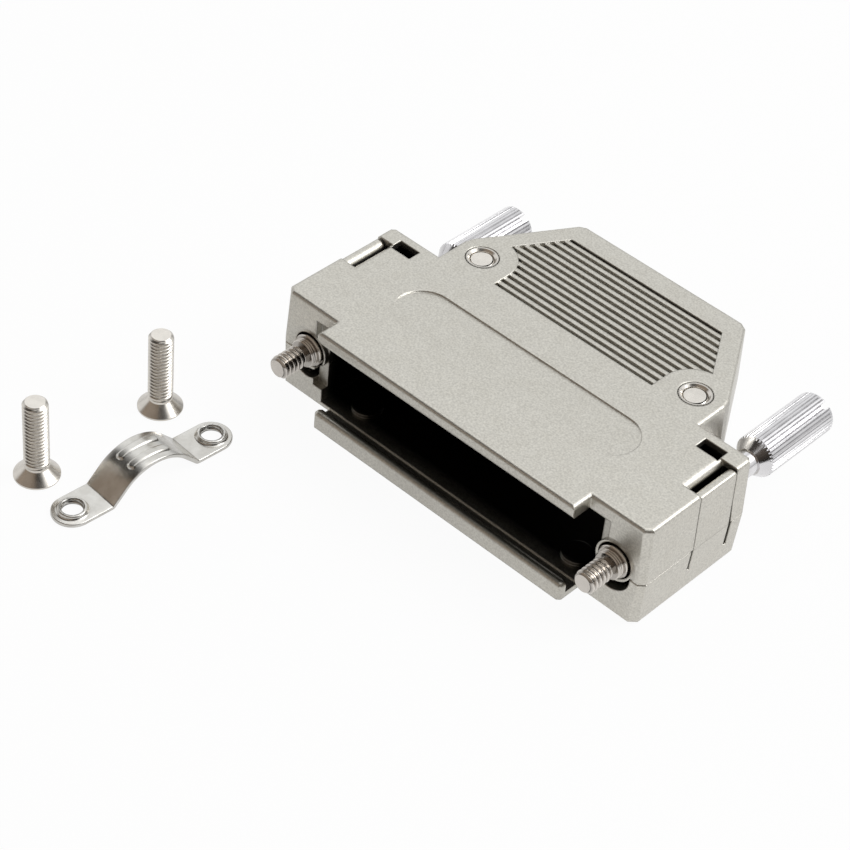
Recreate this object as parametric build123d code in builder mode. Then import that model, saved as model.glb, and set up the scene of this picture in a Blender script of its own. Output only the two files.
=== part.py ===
from build123d import *
from math import cos, pi, sin, sqrt
import os

# Connector housing: a cast backshell in two halves for a 25-way D-sub connector, with two
# captive thumbscrews. Its cable clamp and the two clamp screws lie and stand beside it.
# X runs across the width, +Y from the mating face to the cable exit, +Z up from the base.
# The origin is on the base plane, under the middle of the mating face. Sizes are millimetres.

# Housing plan, measured at the parting plane
SHELL_HEIGHT = 14.3
PART_LINE = 6.4
DRAFT = 2.5
SCREW_TO_SIDE = 4.38
BODY_DEPTH = 18.35
NECK_HALF_WIDTH = 20.4
NECK_DEPTH = 23.3
REAR_HALF_WIDTH = 12.8
HOUSING_DEPTH = 36.3
CORNER_CHAMFER = 0.7
TOP_EDGE_RADIUS = 0.5
BASE_EDGE_CHAMFER = 0.5
PART_EDGE_CHAMFER = 0.1

# Walls
SIDE_WALL = 1.7
FRONT_WALL = 1.6
TOP_WALL = 1.8
FLOOR = 1.0
PARTITION = 0.8

# Connector opening and the lips that hold the connector's flange
SCREW_TO_OPENING = 2.57
MARGIN_WIDTH = 1.45
MARGIN_DEPTH = 1.0
MARGIN_BOTTOM = 2.8
LIP_REACH = 2.93
LIP_END_INSET = 1.55
UPPER_LIP_THICKNESS = 2.0
UPPER_LIP_ROUND = 1.0
BEAD_WIDTH = 1.35
BEAD_TOP = 2.3
BEAD_ROUND = 0.6
BEAD_END_CHAMFER = 0.4
GROOVE_FLOOR = 0.85
PIN_MARK_RADIUS = 1.9
PIN_MARK_HEIGHT = 0.4
PIN_MARK_INSET = 4.45
PIN_MARK_Y = 3.4

# Thumbscrews, 4-40 threads on the connector's hole spacing
SCREW_SPACING = 47.04
SCREW_HEIGHT = 7.3
THREAD_RADIUS = 1.42
THREAD_REACH = 5.0
THREAD_CHAMFER = 0.3
COLLAR_RADIUS = 2.12
COLLAR_PROUD = 0.3
COLLAR_LENGTH = 1.6
COLLAR_CLEARANCE = 0.18
SHAFT_RADIUS = 1.5
SHAFT_CLEARANCE = 0.1
COLLAR_RIM = 0.3
KNOB_RADIUS = 2.67
KNOB_NOSE_RADIUS = 1.7
KNOB_NOSE_LENGTH = 1.4
KNOB_GAP = 5.7
KNOB_LENGTH = 13.0
KNOB_CHAMFER = 0.4
KNURL_COUNT = 30
KNURL_DEPTH = 0.28
DRIVER_SLOT_WIDTH = 0.8
DRIVER_SLOT_DEPTH = 1.1
DRIVER_SLOT_ANGLE = 58

# Screw hole dish and the pocket under the collar
DISH_RADIUS = 3.2
DISH_DEPTH = 0.3
POCKET_RADIUS = 2.6
POCKET_DROP = 1.25
POCKET_CLEARANCE = 0.1

# Snap arms of the lower shell and their notches in the upper shell
ARM_SETBACK = 3.2
ARM_LENGTH = 6.15
ARM_DROP = 0.35
ARM_INNER_ROUND = 0.85
ARM_OUTER_ROUND = 0.35
ARM_GAP = 0.2
FRONT_RELIEF_WIDTH = 0.45
FRONT_RELIEF_BOTTOM = 3.3
REAR_RELIEF_WIDTH = 0.65
REAR_RELIEF_BOTTOM = 2.8
REAR_WEDGE_WIDTH = 0.45
REAR_WEDGE_TOP = 9.6
NOTCH_DEPTH = 2.35
NOTCH_ROUND = 0.95
CATCH_WALL = 0.45
CATCH_BOTTOM = 9.4
BARB_LENGTH = 4.0
BARB_HEIGHT = 1.5
BARB_CATCH = 0.25
BARB_GAP = 0.15

# Windows in the top over the screw shafts
WINDOW_WIDTH = 3.1
WINDOW_OFFSET = -0.05
WINDOW_LENGTH = 1.85

# Name field left bare: a stadium-shaped ramp that is deepest at its rear edge
FIELD_CENTRE_Y = 9.15
FIELD_RADIUS = 3.65
FIELD_ARC_X = 14.1
FIELD_DEPTH = 0.2

# Ribbed grip on the top
GRIP_FRONT = 19.05
GRIP_REAR_MARGIN = 3.7
GRIP_MARGIN = 2.9
GRIP_EDGE_DEPTH = 0.15
GRIP_DEPTH = 0.6
GRIP_BOSS_CLEAR = 4.33
RIB_PITCH = 1.1
GROOVE_WIDTH = 0.48
GROOVE_START = 0.3

# M3 hardware
SCREW_RADIUS = 1.5
HEAD_RADIUS = 2.72
HEAD_RIM = 0.25
HEAD_SEAT_CLEARANCE = 0.08
HOLE_RADIUS = 1.65
RECESS_WIDTH = 0.75
RECESS_LENGTH = 2.9
RECESS_DEPTH = 1.1
THREAD_CLEARANCE = 0.03

# Closing screws and their threaded inserts
CLOSING_INSET = 4.0
CLOSING_Y = 21.7
CLOSING_TIP_DEPTH = 0.3
INSERT_RADIUS = 2.1
INSERT_LENGTH = 6.0
CLOSING_BOSS_RADIUS = 3.1

# Cable clamp, lying beside the housing
CLAMP_SPACING = 20.1
CLAMP_CENTRE = (-26.15, -23.37)
CLAMP_ANGLE = 86.43
CLAMP_WIDTH = 4.95
CLAMP_SHEET = 0.5
CLAMP_ARCH_HALF = 6.0
CLAMP_CROWN_HEIGHT = 3.6
CLAMP_FOOT_RADIUS = 0.8
CLAMP_RIB_WIDTH = 0.9
CLAMP_RIB_OFFSET = 1.0
CLAMP_RIB_HEIGHT = 0.22
CLAMP_RIB_HALF_LENGTH = 2.6
EYELET_RADIUS = 1.95
EYELET_BORE = 1.25
EYELET_RISE = 0.35

# Clamp screws, standing on their heads beside the housing
CLAMP_SCREW_LENGTH = 11.0
CLAMP_SCREW_PLACES = {"front": (-34.25, -32.23), "rear": (-33.68, -13.93)}
CLAMP_BOSS_RADIUS = 3.4
CLAMP_BOSS_TOP = 2.6
CLAMP_HOLES_SETBACK = 6.3

# Cable exit in the rear wall
EXIT_RADIUS = 4.9

# Sizes that follow from those above
SCREW_X = SCREW_SPACING / 2
BODY_HALF_WIDTH = SCREW_X + SCREW_TO_SIDE
OPENING_HALF_WIDTH = SCREW_X - SCREW_TO_OPENING
LIP_HALF_WIDTH = OPENING_HALF_WIDTH - LIP_END_INSET
PIN_MARK_X = OPENING_HALF_WIDTH - PIN_MARK_INSET
CLOSING_X = NECK_HALF_WIDTH - CLOSING_INSET
CLAMP_HOLES_Y = HOUSING_DEPTH - CLAMP_HOLES_SETBACK
GRIP_REAR = HOUSING_DEPTH - GRIP_REAR_MARGIN
ARM_REAR = BODY_DEPTH - ARM_SETBACK
ARM_FRONT = ARM_REAR - ARM_LENGTH
ARM_TOP = SHELL_HEIGHT - ARM_DROP
NOTCH_HALF_WIDTH = BODY_HALF_WIDTH - NOTCH_DEPTH
UPPER_HEIGHT = SHELL_HEIGHT - PART_LINE
CEILING = SHELL_HEIGHT - TOP_WALL
INNER_HALF_WIDTH = BODY_HALF_WIDTH - SIDE_WALL
BODY_BACK_WALL = BODY_DEPTH - SIDE_WALL
MARGIN_HALF_WIDTH = OPENING_HALF_WIDTH + MARGIN_WIDTH
COLLAR_HOLE = COLLAR_RADIUS + COLLAR_CLEARANCE
COLLAR_RING = COLLAR_HOLE + COLLAR_RIM
SHAFT_HOLE = SHAFT_RADIUS + SHAFT_CLEARANCE
POCKET_HEIGHT = SCREW_HEIGHT - POCKET_DROP
EXIT_HEIGHT = SHELL_HEIGHT / 2
HEAD_CONE = HEAD_RADIUS - SCREW_RADIUS
PARTITION_LENGTH = BODY_DEPTH - SIDE_WALL / 2 - MARGIN_DEPTH
PARTITION_X = OPENING_HALF_WIDTH + PARTITION / 2
KNOB_FRONT = BODY_DEPTH + KNOB_GAP
CLOSING_LENGTH = SHELL_HEIGHT - CLOSING_TIP_DEPTH

screw_axes = [(-SCREW_X, SCREW_HEIGHT), (SCREW_X, SCREW_HEIGHT)]
closing_axes = [(-CLOSING_X, CLOSING_Y), (CLOSING_X, CLOSING_Y)]
clamp_axes = [(-CLAMP_SPACING / 2, CLAMP_HOLES_Y), (CLAMP_SPACING / 2, CLAMP_HOLES_Y)]
part_plane = Plane.XY.offset(PART_LINE)

# Plan of the housing
housing_corners = [
    (BODY_HALF_WIDTH, 0),
    (BODY_HALF_WIDTH, BODY_DEPTH),
    (NECK_HALF_WIDTH, BODY_DEPTH),
    (NECK_HALF_WIDTH, NECK_DEPTH),
    (REAR_HALF_WIDTH, HOUSING_DEPTH),
]
with BuildSketch() as housing_plan:
    with BuildLine():
        Polyline(*housing_corners, *[(-x, y) for x, y in reversed(housing_corners)], close=True)
    make_face()
    chamfer(
        vertices().filter_by(lambda v: abs(v.X) > SCREW_X or v.Y > (BODY_DEPTH + NECK_DEPTH) / 2),
        length=CORNER_CHAMFER,
    )

# The same plan inside the walls
with BuildSketch() as chamber_plan:
    add(housing_plan.sketch)
    offset(amount=-SIDE_WALL)
    Rectangle(2 * INNER_HALF_WIDTH, 2 * BODY_BACK_WALL)
    with Locations((0, FRONT_WALL)):
        Rectangle(2 * HOUSING_DEPTH, HOUSING_DEPTH, align=(Align.CENTER, Align.MIN), mode=Mode.INTERSECT)

# Outline of the ribbed grip, which follows the housing's sides and bows round the inserts
with BuildSketch() as grip_plan:
    add(housing_plan.sketch)
    offset(amount=-GRIP_MARGIN)
    with Locations((0, GRIP_FRONT)):
        Rectangle(
            2 * HOUSING_DEPTH,
            GRIP_REAR - GRIP_FRONT,
            align=(Align.CENTER, Align.MIN),
            mode=Mode.INTERSECT,
        )
    with Locations(*closing_axes):
        Circle(GRIP_BOSS_CLEAR, mode=Mode.SUBTRACT)
    with Locations((-CLOSING_X, GRIP_FRONT), (CLOSING_X, GRIP_FRONT)):
        Rectangle(2 * GRIP_BOSS_CLEAR, 2 * (CLOSING_Y - GRIP_FRONT), mode=Mode.SUBTRACT)

# Name field: the stadium cut on a ramp that meets the top at its front edge
with BuildPart() as name_field:
    with BuildSketch(Plane.XY.offset(SHELL_HEIGHT - FIELD_DEPTH)):
        with Locations((0, FIELD_CENTRE_Y)):
            SlotCenterToCenter(2 * FIELD_ARC_X, 2 * FIELD_RADIUS)
    extrude(amount=2 * FIELD_DEPTH)
    with BuildSketch(Plane.YZ):
        with BuildLine():
            Polyline(
                (FIELD_CENTRE_Y - FIELD_RADIUS, SHELL_HEIGHT),
                (FIELD_CENTRE_Y + FIELD_RADIUS, SHELL_HEIGHT - FIELD_DEPTH),
                (FIELD_CENTRE_Y + FIELD_RADIUS, SHELL_HEIGHT + FIELD_DEPTH),
                (FIELD_CENTRE_Y - FIELD_RADIUS, SHELL_HEIGHT + FIELD_DEPTH),
                close=True,
            )
        make_face()
    extrude(amount=FIELD_ARC_X + FIELD_RADIUS, both=True, mode=Mode.INTERSECT)

# Upper shell
with BuildPart() as upper_shell:
    with BuildSketch(part_plane):
        add(housing_plan.sketch)
    extrude(amount=UPPER_HEIGHT)
    draft(faces().filter_by(Axis.Z, reverse=True).sort_by(Axis.Y)[1:], part_plane, DRAFT)
    chamfer(faces().sort_by(Axis.Z)[0].outer_wire().edges(), length=PART_EDGE_CHAMFER)
    with BuildSketch(Plane.YZ):
        with Locations((-LIP_REACH, SHELL_HEIGHT)):
            Rectangle(LIP_REACH + FRONT_WALL, UPPER_LIP_THICKNESS, align=(Align.MIN, Align.MAX))
        fillet(vertices().group_by(Axis.X)[0].sort_by(Axis.Y)[0], radius=UPPER_LIP_ROUND)
    extrude(amount=LIP_HALF_WIDTH, both=True)
    fillet(faces().sort_by(Axis.Z)[-1].outer_wire().edges(), radius=TOP_EDGE_RADIUS)

    # Chamber, connector opening and the stepped margin beside it
    with BuildSketch(part_plane):
        add(chamber_plan.sketch)
        Rectangle(2 * OPENING_HALF_WIDTH, 2 * BODY_BACK_WALL)
    extrude(amount=CEILING - PART_LINE, mode=Mode.SUBTRACT)
    with BuildSketch(part_plane):
        Rectangle(2 * MARGIN_HALF_WIDTH, 2 * MARGIN_DEPTH)
    extrude(amount=CEILING - PART_LINE, mode=Mode.SUBTRACT)

    # Walls between the connector's chamber and the screw channels, and the insert bosses
    with BuildSketch(part_plane):
        with Locations((-PARTITION_X, MARGIN_DEPTH), (PARTITION_X, MARGIN_DEPTH)):
            Rectangle(PARTITION, PARTITION_LENGTH, align=(Align.CENTER, Align.MIN))
        with Locations(*closing_axes):
            Circle(CLOSING_BOSS_RADIUS)
    extrude(amount=CEILING + FIELD_DEPTH - PART_LINE)
    with BuildSketch(Plane.XY.offset(CATCH_BOTTOM)):
        for side in (-1, 1):
            with Locations((side * (NOTCH_HALF_WIDTH - CATCH_WALL / 2), (ARM_FRONT + ARM_REAR) / 2)):
                Rectangle(CATCH_WALL, ARM_LENGTH + 2 * ARM_GAP)
    extrude(amount=CEILING - CATCH_BOTTOM)
    with BuildSketch(Plane.XY.offset(SHELL_HEIGHT)):
        with Locations(*closing_axes):
            Circle(INSERT_RADIUS)
    extrude(amount=-INSERT_LENGTH, mode=Mode.SUBTRACT)
    with BuildSketch(part_plane):
        with Locations(*closing_axes):
            Circle(HOLE_RADIUS)
    extrude(amount=UPPER_HEIGHT, mode=Mode.SUBTRACT)

    # Collar ring that hangs below the parting plane into the lower shell's pocket
    with BuildSketch(Plane.XZ):
        with Locations(*screw_axes):
            Circle(COLLAR_RING)
        with Locations((0, POCKET_HEIGHT)):
            Rectangle(
                2 * (MARGIN_HALF_WIDTH + POCKET_CLEARANCE),
                2 * (PART_LINE - POCKET_HEIGHT),
                mode=Mode.SUBTRACT,
            )
        Rectangle(2 * (MARGIN_HALF_WIDTH + POCKET_CLEARANCE), 2 * PART_LINE, mode=Mode.SUBTRACT)
    extrude(amount=-FRONT_WALL)
    with BuildSketch(Plane.XZ):
        with Locations(*screw_axes):
            Circle(COLLAR_HOLE)
    extrude(amount=-FRONT_WALL - MARGIN_DEPTH, mode=Mode.SUBTRACT)
    for x, z in screw_axes:
        with Locations(Plane(origin=(x, 0, z), z_dir=(0, 1, 0))):
            Cone(
                bottom_radius=DISH_RADIUS,
                top_radius=COLLAR_HOLE,
                height=DISH_DEPTH,
                align=(Align.CENTER, Align.CENTER, Align.MIN),
                mode=Mode.SUBTRACT,
            )
    with BuildSketch(Plane.XZ.offset(-BODY_DEPTH)):
        with Locations(*screw_axes):
            Circle(SHAFT_HOLE)
    extrude(amount=SIDE_WALL, mode=Mode.SUBTRACT)

    # Cable exit
    with BuildSketch(Plane.XZ.offset(-HOUSING_DEPTH)):
        with Locations((0, EXIT_HEIGHT)):
            Circle(EXIT_RADIUS)
    extrude(amount=2 * SIDE_WALL, mode=Mode.SUBTRACT)

    # Snap notches in the sides, wider behind the arm near the parting plane
    for side in (-1, 1):
        with BuildSketch(Plane.YZ.offset(side * NOTCH_HALF_WIDTH)):
            with BuildLine():
                Polyline(
                    (ARM_FRONT - ARM_GAP, PART_LINE),
                    (ARM_FRONT - ARM_GAP, SHELL_HEIGHT),
                    (ARM_REAR + ARM_GAP, SHELL_HEIGHT),
                    (ARM_REAR + ARM_GAP, REAR_WEDGE_TOP),
                    (ARM_REAR + REAR_WEDGE_WIDTH, PART_LINE),
                    close=True,
                )
            make_face()
        extrude(amount=side * NOTCH_DEPTH, mode=Mode.SUBTRACT)
    notch_edges = edges().filter_by(Axis.Y).group_by(Axis.Z)[-1]
    fillet(
        notch_edges.filter_by(lambda e: abs(abs(e.center().X) - NOTCH_HALF_WIDTH) < ARM_GAP),
        radius=NOTCH_ROUND,
    )

    # Windows over the screw shafts
    with BuildSketch(Plane.XY.offset(SHELL_HEIGHT)):
        for side in (-1, 1):
            with Locations((side * (SCREW_X + WINDOW_OFFSET), BODY_BACK_WALL)):
                Rectangle(WINDOW_WIDTH, WINDOW_LENGTH, align=(Align.CENTER, Align.MAX))
    extrude(amount=-TOP_WALL, mode=Mode.SUBTRACT)

    # Name field and ribbed grip on the top
    add(name_field.part, mode=Mode.SUBTRACT)
    with BuildSketch(Plane.XY.offset(SHELL_HEIGHT)):
        add(grip_plan.sketch)
    extrude(amount=-GRIP_EDGE_DEPTH, mode=Mode.SUBTRACT)
    with BuildSketch(Plane.XY.offset(SHELL_HEIGHT)):
        groove_count = int((GRIP_REAR - GRIP_FRONT - GROOVE_START) / RIB_PITCH) + 1
        for groove in range(groove_count):
            with Locations((0, GRIP_FRONT + GROOVE_START + groove * RIB_PITCH)):
                Rectangle(2 * NECK_HALF_WIDTH, GROOVE_WIDTH)
        add(grip_plan.sketch, mode=Mode.INTERSECT)
    extrude(amount=-GRIP_DEPTH, mode=Mode.SUBTRACT)

upper_shell.part.label = "upper_shell"

# Snap arm: a strip of the side wall that stands up into the notch, with a barb inside
with BuildPart() as snap_arm:
    with BuildSketch(part_plane):
        with Locations((INNER_HALF_WIDTH, ARM_FRONT)):
            Rectangle(SIDE_WALL, ARM_LENGTH, align=Align.MIN)
    extrude(amount=ARM_TOP - PART_LINE)
    draft(faces().sort_by(Axis.X)[-1], part_plane, DRAFT)
    fillet(edges().filter_by(Axis.Y).group_by(Axis.Z)[-1].sort_by(Axis.X)[0], radius=ARM_INNER_ROUND)
    fillet(edges().filter_by(Axis.Y).group_by(Axis.Z)[-1].sort_by(Axis.X)[-1], radius=ARM_OUTER_ROUND)
    with BuildSketch(Plane.XZ.offset(-(ARM_FRONT + ARM_REAR) / 2)):
        with BuildLine():
            Polyline(
                (INNER_HALF_WIDTH, CATCH_BOTTOM - BARB_GAP),
                (NOTCH_HALF_WIDTH - BARB_CATCH, CATCH_BOTTOM - BARB_GAP),
                (INNER_HALF_WIDTH, CATCH_BOTTOM - BARB_GAP - BARB_HEIGHT),
                close=True,
            )
        make_face()
    extrude(amount=BARB_LENGTH / 2, both=True)

# Lower lip: a round-topped bead on a tongue, which holds the connector's flange to the front wall
with BuildPart() as lower_lip:
    with BuildSketch():
        with Locations((0, -LIP_REACH)):
            Rectangle(2 * LIP_HALF_WIDTH, BEAD_WIDTH, align=(Align.CENTER, Align.MIN))
        chamfer(vertices(), length=BEAD_END_CHAMFER)
    extrude(amount=BEAD_TOP)
    fillet(faces().sort_by(Axis.Z)[-1].edges(), radius=BEAD_ROUND)
    with BuildSketch():
        Rectangle(2 * LIP_HALF_WIDTH, 2 * LIP_REACH)
        chamfer(vertices(), length=BEAD_END_CHAMFER)
        Rectangle(2 * LIP_HALF_WIDTH, FRONT_WALL, align=(Align.CENTER, Align.MIN))
    extrude(amount=GROOVE_FLOOR)

# Lower shell
with BuildPart() as lower_shell:
    with BuildSketch(part_plane):
        add(housing_plan.sketch)
    extrude(amount=-PART_LINE)
    draft(faces().filter_by(Axis.Z, reverse=True).sort_by(Axis.Y)[1:], part_plane, -DRAFT)
    chamfer(faces().sort_by(Axis.Z)[-1].outer_wire().edges(), length=PART_EDGE_CHAMFER)
    chamfer(faces().sort_by(Axis.Z)[0].outer_wire().edges(), length=BASE_EDGE_CHAMFER)
    add(lower_lip.part)

    # Chamber, connector opening and margin
    with BuildSketch(Plane.XY.offset(FLOOR)):
        add(chamber_plan.sketch)
        Rectangle(2 * OPENING_HALF_WIDTH, 2 * BODY_BACK_WALL)
        with Locations((0, -LIP_REACH)):
            Rectangle(2 * BODY_HALF_WIDTH, 2 * LIP_REACH, mode=Mode.SUBTRACT)
    extrude(amount=PART_LINE, mode=Mode.SUBTRACT)
    with BuildSketch(Plane.XY.offset(MARGIN_BOTTOM)):
        Rectangle(2 * MARGIN_HALF_WIDTH, 2 * MARGIN_DEPTH)
        with Locations((0, -LIP_REACH)):
            Rectangle(2 * BODY_HALF_WIDTH, 2 * LIP_REACH, mode=Mode.SUBTRACT)
    extrude(amount=PART_LINE, mode=Mode.SUBTRACT)

    # Walls beside the screw channels, screw bosses and moulding pin marks on the floor
    with BuildSketch(part_plane):
        with Locations((-PARTITION_X, MARGIN_DEPTH), (PARTITION_X, MARGIN_DEPTH)):
            Rectangle(PARTITION, PARTITION_LENGTH, align=(Align.CENTER, Align.MIN))
        with Locations(*closing_axes):
            Circle(CLOSING_BOSS_RADIUS)
    extrude(amount=-PART_LINE + FLOOR / 2)
    with BuildSketch(Plane.XY.offset(CLAMP_BOSS_TOP)):
        with Locations(*clamp_axes):
            Circle(CLAMP_BOSS_RADIUS)
    extrude(amount=-CLAMP_BOSS_TOP + FLOOR / 2)
    with BuildSketch(Plane.XY.offset(FLOOR)):
        with Locations((-PIN_MARK_X, PIN_MARK_Y), (PIN_MARK_X, PIN_MARK_Y)):
            Circle(PIN_MARK_RADIUS)
    extrude(amount=PIN_MARK_HEIGHT)

    # Countersunk holes in the base, for the closing screws and for the clamp screws
    with Locations(Plane.XY.rotated((180, 0, 0))):
        with Locations(*[(x, -y) for x, y in closing_axes + clamp_axes]):
            CounterSinkHole(
                radius=HOLE_RADIUS,
                counter_sink_radius=HEAD_RADIUS + HEAD_RIM + HEAD_SEAT_CLEARANCE,
                counter_sink_angle=90,
            )

    # Screw holes, pockets under the collars and the cable exit
    with BuildSketch(Plane.XZ):
        with Locations(*screw_axes):
            Circle(COLLAR_HOLE + POCKET_CLEARANCE)
        with Locations(*[(x, POCKET_HEIGHT) for x, z in screw_axes]):
            Circle(POCKET_RADIUS)
            Rectangle(2 * POCKET_RADIUS, UPPER_HEIGHT, align=(Align.CENTER, Align.MIN))
        with Locations((0, POCKET_HEIGHT)):
            Rectangle(2 * MARGIN_HALF_WIDTH, 2 * SHELL_HEIGHT, mode=Mode.SUBTRACT)
        with Locations(*screw_axes):
            Circle(COLLAR_HOLE + POCKET_CLEARANCE)
    extrude(amount=-FRONT_WALL, mode=Mode.SUBTRACT)
    with BuildSketch(Plane.XZ.offset(-BODY_DEPTH)):
        with Locations(*screw_axes):
            Circle(SHAFT_HOLE)
    extrude(amount=SIDE_WALL, mode=Mode.SUBTRACT)
    with BuildSketch(Plane.XZ.offset(-HOUSING_DEPTH)):
        with Locations((0, EXIT_HEIGHT)):
            Circle(EXIT_RADIUS)
    extrude(amount=2 * SIDE_WALL, mode=Mode.SUBTRACT)

    # Slots that free the snap arms, then the arms themselves
    for front, bottom, width in (
        (ARM_FRONT - FRONT_RELIEF_WIDTH, FRONT_RELIEF_BOTTOM, FRONT_RELIEF_WIDTH),
        (ARM_REAR, REAR_RELIEF_BOTTOM, REAR_RELIEF_WIDTH),
    ):
        with BuildSketch(Plane.XY.offset(bottom)):
            with Locations((-BODY_HALF_WIDTH, front), (BODY_HALF_WIDTH, front)):
                Rectangle(2 * SIDE_WALL, width, align=(Align.CENTER, Align.MIN))
        extrude(amount=PART_LINE, mode=Mode.SUBTRACT)
    add(snap_arm.part)
    mirror(snap_arm.part, about=Plane.YZ)

lower_shell.part.label = "lower_shell"

# Thumbscrews: thread, collar, shaft and a straight-knurled knob with a driver slot
for side, name in ((-1, "left"), (1, "right")):
    screw_plane = Plane(origin=(side * SCREW_X, 0, SCREW_HEIGHT), x_dir=(1, 0, 0), z_dir=(0, 1, 0))
    with BuildPart() as thumbscrew:
        with BuildSketch(Plane(origin=screw_plane.origin, x_dir=(1, 0, 0), z_dir=(0, 0, 1))):
            with BuildLine():
                Polyline(
                    (0, -THREAD_REACH),
                    (THREAD_RADIUS - THREAD_CHAMFER, -THREAD_REACH),
                    (THREAD_RADIUS, -THREAD_REACH + THREAD_CHAMFER),
                    (THREAD_RADIUS, -COLLAR_PROUD),
                    (COLLAR_RADIUS, -COLLAR_PROUD),
                    (COLLAR_RADIUS, COLLAR_LENGTH - COLLAR_PROUD),
                    (SHAFT_RADIUS, COLLAR_LENGTH - COLLAR_PROUD),
                    (SHAFT_RADIUS, KNOB_FRONT),
                    (KNOB_NOSE_RADIUS, KNOB_FRONT),
                    (KNOB_RADIUS - KNURL_DEPTH, KNOB_FRONT + KNOB_NOSE_LENGTH),
                    (KNOB_RADIUS - KNURL_DEPTH, KNOB_FRONT + KNOB_LENGTH - KNOB_CHAMFER),
                    (KNOB_RADIUS - KNURL_DEPTH - KNOB_CHAMFER, KNOB_FRONT + KNOB_LENGTH),
                    (0, KNOB_FRONT + KNOB_LENGTH),
                    close=True,
                )
            make_face()
        revolve(axis=Axis(screw_plane.origin, (0, 1, 0)))
        with BuildSketch(screw_plane.offset(KNOB_FRONT + KNOB_NOSE_LENGTH)):
            with BuildLine():
                turn = pi / KNURL_COUNT
                Polyline(
                    *[
                        (
                            (KNOB_RADIUS - KNURL_DEPTH * (tooth % 2)) * cos(tooth * turn),
                            (KNOB_RADIUS - KNURL_DEPTH * (tooth % 2)) * sin(tooth * turn),
                        )
                        for tooth in range(2 * KNURL_COUNT)
                    ],
                    close=True,
                )
            make_face()
        extrude(amount=KNOB_LENGTH - KNOB_NOSE_LENGTH - KNOB_CHAMFER)
        with BuildSketch(screw_plane.offset(KNOB_FRONT + KNOB_LENGTH)):
            Rectangle(2 * KNOB_RADIUS, DRIVER_SLOT_WIDTH, rotation=-DRIVER_SLOT_ANGLE)
        extrude(amount=-DRIVER_SLOT_DEPTH, mode=Mode.SUBTRACT)
    thumbscrew.part.label = f"thumbscrew_{name}"
    os.makedirs("parts", exist_ok=True)
    export_step(thumbscrew.part, f"parts/thumbscrew_{name}.step")

# Threaded inserts pressed into the upper shell, and the closing screws that hold the shells
for side, name in ((-1, "left"), (1, "right")):
    with BuildPart() as insert:
        with BuildSketch(Plane.XY.offset(SHELL_HEIGHT - INSERT_LENGTH)):
            with Locations((side * CLOSING_X, CLOSING_Y)):
                Circle(INSERT_RADIUS)
                Circle(SCREW_RADIUS + THREAD_CLEARANCE, mode=Mode.SUBTRACT)
        extrude(amount=INSERT_LENGTH)
    insert.part.label = f"insert_{name}"
    export_step(insert.part, f"parts/insert_{name}.step")


def countersunk_screw(length):
    """Countersunk screw that stands on its head at the origin."""
    with BuildPart() as screw:
        with BuildSketch(Plane.XZ):
            with BuildLine():
                Polyline(
                    (0, 0),
                    (HEAD_RADIUS, 0),
                    (HEAD_RADIUS, HEAD_RIM),
                    (SCREW_RADIUS, HEAD_RIM + HEAD_CONE),
                    (SCREW_RADIUS, length),
                    (0, length),
                    close=True,
                )
            make_face()
        revolve(axis=Axis.Z)
        with BuildSketch():
            Rectangle(RECESS_LENGTH, RECESS_WIDTH)
            Rectangle(RECESS_WIDTH, RECESS_LENGTH)
        extrude(amount=RECESS_DEPTH, mode=Mode.SUBTRACT)
    return screw.part


for side, name in ((-1, "left"), (1, "right")):
    closing_screw = Pos(side * CLOSING_X, CLOSING_Y, 0) * countersunk_screw(CLOSING_LENGTH)
    closing_screw.label = f"closing_screw_{name}"
    export_step(closing_screw, f"parts/closing_screw_{name}.step")

for name, (x, y) in CLAMP_SCREW_PLACES.items():
    clamp_screw = Pos(x, y, 0) * countersunk_screw(CLAMP_SCREW_LENGTH)
    clamp_screw.label = f"clamp_screw_{name}"
    export_step(clamp_screw, f"parts/clamp_screw_{name}.step")

# Cable clamp: a strip bent to an arch, with a threaded eyelet in each end
clamp_plane = Plane(
    origin=(*CLAMP_CENTRE, 0),
    x_dir=Vector(1, 0, 0).rotate(Axis.Z, CLAMP_ANGLE),
    z_dir=(0, 0, 1),
)
clamp_side = Plane(origin=clamp_plane.origin, x_dir=clamp_plane.x_dir, z_dir=-clamp_plane.y_dir)
clamp_half_length = (CLAMP_SPACING + CLAMP_WIDTH) / 2
clamp_arch_radius = (CLAMP_ARCH_HALF - CLAMP_CROWN_HEIGHT) / (sqrt(2) - 1)


def clamp_bend(rise):
    with BuildLine() as bend:
        FilletPolyline(
            (-clamp_half_length, rise),
            (-CLAMP_ARCH_HALF, rise),
            (0, CLAMP_ARCH_HALF + rise),
            (CLAMP_ARCH_HALF, rise),
            (clamp_half_length, rise),
            radius=[CLAMP_FOOT_RADIUS, clamp_arch_radius, CLAMP_FOOT_RADIUS],
        )
    return bend.line


# Pair of stiffening ribs raised along the crown of the arch
with BuildPart() as clamp_ribs:
    with BuildSketch(clamp_side):
        with BuildLine():
            add(clamp_bend(CLAMP_SHEET / 2))
            offset(amount=CLAMP_SHEET / 2 + CLAMP_RIB_HEIGHT, side=Side.LEFT)
        make_face()
    extrude(amount=CLAMP_WIDTH / 2, both=True)
    with BuildSketch(clamp_plane):
        with Locations((0, -CLAMP_RIB_OFFSET), (0, CLAMP_RIB_OFFSET)):
            Rectangle(2 * CLAMP_RIB_HALF_LENGTH, CLAMP_RIB_WIDTH)
    extrude(amount=2 * CLAMP_CROWN_HEIGHT, mode=Mode.INTERSECT)

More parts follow.
